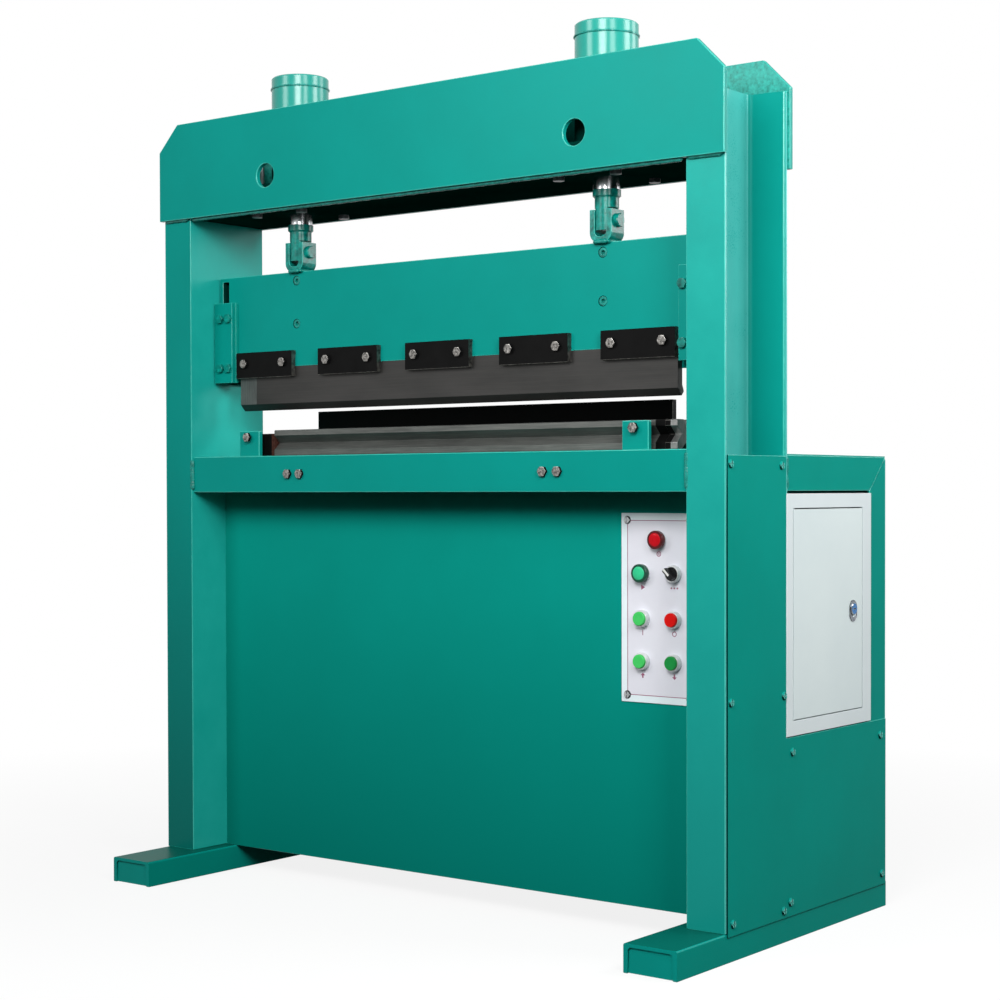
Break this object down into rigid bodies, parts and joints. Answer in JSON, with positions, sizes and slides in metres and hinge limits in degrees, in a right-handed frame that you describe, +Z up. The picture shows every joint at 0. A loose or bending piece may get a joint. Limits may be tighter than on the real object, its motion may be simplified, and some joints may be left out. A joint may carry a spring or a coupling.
{
  "type": "hydraulic press brake",
  "caption": "Hydraulic press brake: channel-steel frame, twin cylinders driving a guided ram with clamped punch over a multi-V die, push-button panel, back gauge and side electric box.",
  "frame": {"origin": "centre of the machine's footprint on the floor, midway along the feet and between the columns", "axes": "+X to the operator's right, +Y to the back, +Z up"},
  "size_m": [1.3075, 0.703, 1.5545],
  "materials": {
    "machine_paint": "semi-gloss enamel over rolled and cut steel",
    "shaded_paint": "semi-gloss enamel",
    "zinc_steel": "zinc plated",
    "bright_steel": "machined",
    "dark_bolts": "oiled",
    "tool_steel": "ground and hardened",
    "black_steel": "black oxide",
    "hard_chrome": "polished",
    "cabinet_paint": "fine powder coat",
    "panel_metal": "satin white coat on sheet",
    "red_lens": "moulded lens",
    "green_lens": "moulded lens",
    "green_cap": "moulded",
    "dark_green_cap": "moulded",
    "red_cap": "moulded",
    "black_plastic": "moulded",
    "switchgear_plastic": "moulded",
    "tank_paint": "enamel",
    "motor_iron": "painted casting"
  },
  "bodies": {
    "frame": {"left_column": "machine_paint", "right_column": "machine_paint", "left_foot": "machine_paint", "right_foot": "machine_paint", "front_crown_plate": "machine_paint", "rear_crown_plate": "machine_paint", "left_cylinder": "machine_paint", "right_cylinder": "machine_paint", "front_beam": "machine_paint", "bench_slab": "machine_paint", "rear_beam": "machine_paint", "front_sheet": "machine_paint", "die_tabs": "machine_paint", "guide_brackets": "machine_paint", "guide_plates": "machine_paint", "wear_strips": "machine_paint", "guide_bolts": "machine_paint", "cover_screws": "machine_paint", "housing_posts": "machine_paint", "housing_rails": "machine_paint", "right_side_cover": "machine_paint", "left_side_cover": "machine_paint", "rear_cover": "machine_paint", "top_cover": "machine_paint", "cylinder_bed": "shaded_paint", "cylinder_bolts": "zinc_steel", "button_bezels": "zinc_steel", "cylinder_glands": "bright_steel", "gauge_rods": "bright_steel", "oil_lines": "bright_steel", "bench_bolts": "dark_bolts", "lower_die": "tool_steel", "die_end_blocks": "tool_steel", "electric_box": "cabinet_paint", "panel_plate": "panel_metal", "power_lamp": "red_lens", "run_lamp": "green_lens", "switchgear": "switchgear_plastic", "oil_tank": "tank_paint", "pump_motor": "motor_iron"},
    "ram": {"ram_plate": "machine_paint", "ram_backing_bars": "machine_paint", "ram_screws": "machine_paint", "left_rod": "hard_chrome", "right_rod": "hard_chrome", "rod_ends": "machine_paint", "clevises": "machine_paint", "clevis_pins": "machine_paint", "clamp_plates": "black_steel", "clamp_bolts": "dark_bolts", "punch": "tool_steel"},
    "gauge": {"gauge_bar": "black_steel", "gauge_sleeves": "bright_steel"},
    "door": {"cabinet_door": "cabinet_paint"},
    "lock": {"door_lock": "hard_chrome"},
    "selector": {"selector_knob": "black_plastic"},
    "start_cap": {"start_button": "green_cap"},
    "stop_cap": {"stop_button": "red_cap"},
    "up_cap": {"up_button": "green_cap"},
    "down_cap": {"down_button": "dark_green_cap"}
  },
  "joints": [
    {"name": "ram_slide", "type": "slide", "parent": "frame", "child": "ram", "axis": [0, 0, 1], "range_m": [-0.046, 0.015]},
    {"name": "gauge_slide", "type": "slide", "parent": "frame", "child": "gauge", "axis": [0, 1, 0], "range_m": [-0.054, 0.224]},
    {"name": "door_hinge", "type": "hinge", "parent": "frame", "child": "door", "pos_m": [0.648, 0.0095, 0.549], "axis": [0, 0, -1], "range_deg": [0, 110]},
    {"name": "lock_turn", "type": "hinge", "parent": "door", "child": "lock", "pos_m": [0.651, 0.2175, 0.5455], "axis": [1, 0, 0], "range_deg": [0, 90]},
    {"name": "selector_turn", "type": "hinge", "parent": "frame", "child": "selector", "pos_m": [0.495, -0.1295, 0.618], "axis": [0, 1, 0], "range_deg": [0, 90]},
    {"name": "start_press", "type": "slide", "parent": "frame", "child": "start_cap", "axis": [0, 1, 0], "range_m": [0, 0.004], "stiffness_N_per_m": 400},
    {"name": "stop_press", "type": "slide", "parent": "frame", "child": "stop_cap", "axis": [0, 1, 0], "range_m": [0, 0.004], "stiffness_N_per_m": 400},
    {"name": "up_press", "type": "slide", "parent": "frame", "child": "up_cap", "axis": [0, 1, 0], "range_m": [0, 0.004], "stiffness_N_per_m": 400},
    {"name": "down_press", "type": "slide", "parent": "frame", "child": "down_cap", "axis": [0, 1, 0], "range_m": [0, 0.004], "stiffness_N_per_m": 400}
  ]
}
